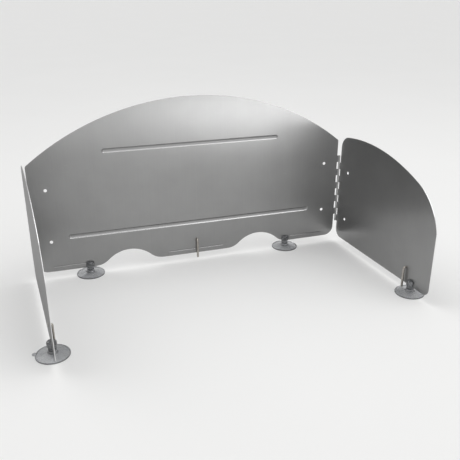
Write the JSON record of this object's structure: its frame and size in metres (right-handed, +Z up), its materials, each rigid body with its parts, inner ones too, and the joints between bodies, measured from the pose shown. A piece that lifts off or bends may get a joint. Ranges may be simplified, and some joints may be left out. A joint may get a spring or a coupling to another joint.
{
  "type": "stove windscreen",
  "caption": "Folding sheet-metal windscreen for a camp stove: arched back panel with hose gaps, hinged wings, suction-cup feet and swing-down wire pegs.",
  "frame": {"origin": "middle of the whole windscreen's footprint as it stands open, at table level", "axes": "+X to the right across the back panel, +Y from the open front to the back, +Z up"},
  "size_m": [0.573, 0.2848, 0.2745],
  "materials": {
    "sheet": "bright rolled sheet, near mirror",
    "wire": "drawn bright wire",
    "cup": "clear soft vinyl, glossy"
  },
  "bodies": {
    "back": {"back_panel": "sheet", "left_hinge_pin": "wire", "right_hinge_pin": "wire"},
    "left_wing": {"left_wing": "sheet"},
    "right_wing": {"right_wing": "sheet"},
    "back_left_cup": {"back_left_cup": "cup"},
    "back_right_cup": {"back_right_cup": "cup"},
    "left_wing_cup": {"left_wing_cup": "cup"},
    "right_wing_cup": {"right_wing_cup": "cup"},
    "back_peg": {"back_peg": "wire"},
    "left_wing_peg": {"left_wing_peg": "wire"},
    "right_wing_peg": {"right_wing_peg": "wire"}
  },
  "joints": [
    {"name": "left_wing_hinge", "type": "hinge", "parent": "back", "child": "left_wing", "pos_m": [-0.27263, 0.11606, 0.098], "axis": [0, 0, -1], "range_deg": [-82.6, 93.4]},
    {"name": "right_wing_hinge", "type": "hinge", "parent": "back", "child": "right_wing", "pos_m": [0.24638, 0.11606, 0.098], "axis": [0, 0, 1], "range_deg": [-89.5, 86.5]},
    {"name": "back_peg_swing", "type": "hinge", "parent": "back", "child": "back_peg", "pos_m": [-0.01112, 0.11731, 0.0362], "axis": [0, 1, 0], "continuous": true},
    {"name": "left_wing_peg_swing", "type": "hinge", "parent": "left_wing", "child": "left_wing_peg", "pos_m": [-0.26177, -0.08766, 0.0362], "axis": [0.9982, 0.0593, 0], "range_deg": [0, 180]},
    {"name": "right_wing_peg_swing", "type": "hinge", "parent": "right_wing", "child": "right_wing_peg", "pos_m": [0.26008, -0.08749, 0.0362], "axis": [0.9981, 0.061, 0], "range_deg": [0, 180]},
    {"name": "back_left_cup_pull", "type": "slide", "parent": "back", "child": "back_left_cup", "axis": [0, 0, -1], "range_m": [0, 0.012]},
    {"name": "back_right_cup_pull", "type": "slide", "parent": "back", "child": "back_right_cup", "axis": [0, 0, -1], "range_m": [0, 0.012]},
    {"name": "left_wing_cup_pull", "type": "slide", "parent": "left_wing", "child": "left_wing_cup", "axis": [0, 0, -1], "range_m": [0, 0.012]},
    {"name": "right_wing_cup_pull", "type": "slide", "parent": "right_wing", "child": "right_wing_cup", "axis": [0, 0, -1], "range_m": [0, 0.012]}
  ]
}
